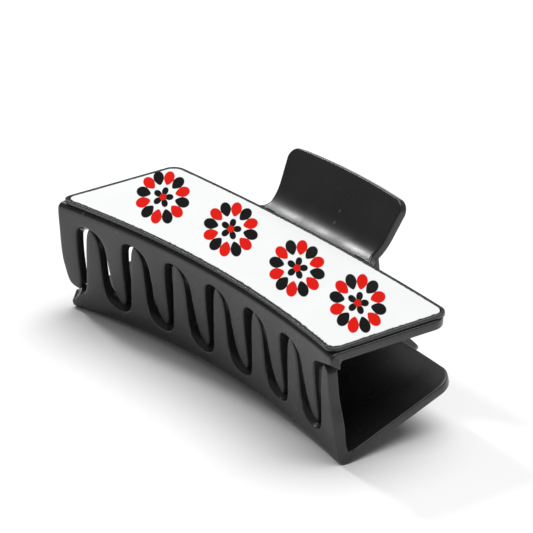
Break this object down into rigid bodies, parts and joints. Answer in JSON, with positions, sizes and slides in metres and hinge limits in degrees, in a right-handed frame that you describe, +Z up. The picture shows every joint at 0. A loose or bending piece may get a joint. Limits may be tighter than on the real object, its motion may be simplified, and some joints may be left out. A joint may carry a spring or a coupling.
{
  "type": "hair sectioning claw clip",
  "caption": "Sprung hair claw clip: two curved plates with long interlocking teeth, thumb levers behind, and a flat label set in a tray on top.",
  "frame": {"origin": "bottom centre of the box round the clip, closed and lying on a table on the lower jaw's front corners and the lower lever's tip", "axes": "+X along the hinge pin and the clip's length, +Y from the teeth towards the levers, +Z up, with the label nearly level"},
  "size_m": [0.1042, 0.0568, 0.0443],
  "materials": {
    "jaw_plastic": "fine matt black moulded plastic",
    "tray_plastic": "satin black moulded plastic",
    "adhesive": "clear double-sided adhesive film",
    "label": "white printed insert with round red and black marks",
    "pin_steel": "plain drawn steel rod",
    "spring_steel": "drawn spring wire"
  },
  "bodies": {
    "lower_half": {"lower_jaw": "jaw_plastic", "hinge_pin": "pin_steel", "spring_coil": "spring_steel"},
    "upper_half": {"upper_jaw": "jaw_plastic", "label_tray": "tray_plastic", "label_adhesive": "adhesive", "label_insert": "label", "spring_upper_leg": "spring_steel"}
  },
  "joints": [
    {"name": "jaw_hinge", "type": "hinge", "parent": "lower_half", "child": "upper_half", "pos_m": [0, 0.01005, 0.02008], "axis": [-1, 0, 0], "range_deg": [0, 80], "stiffness_Nm_per_rad": 0.1, "springref_deg": -57.3}
  ]
}
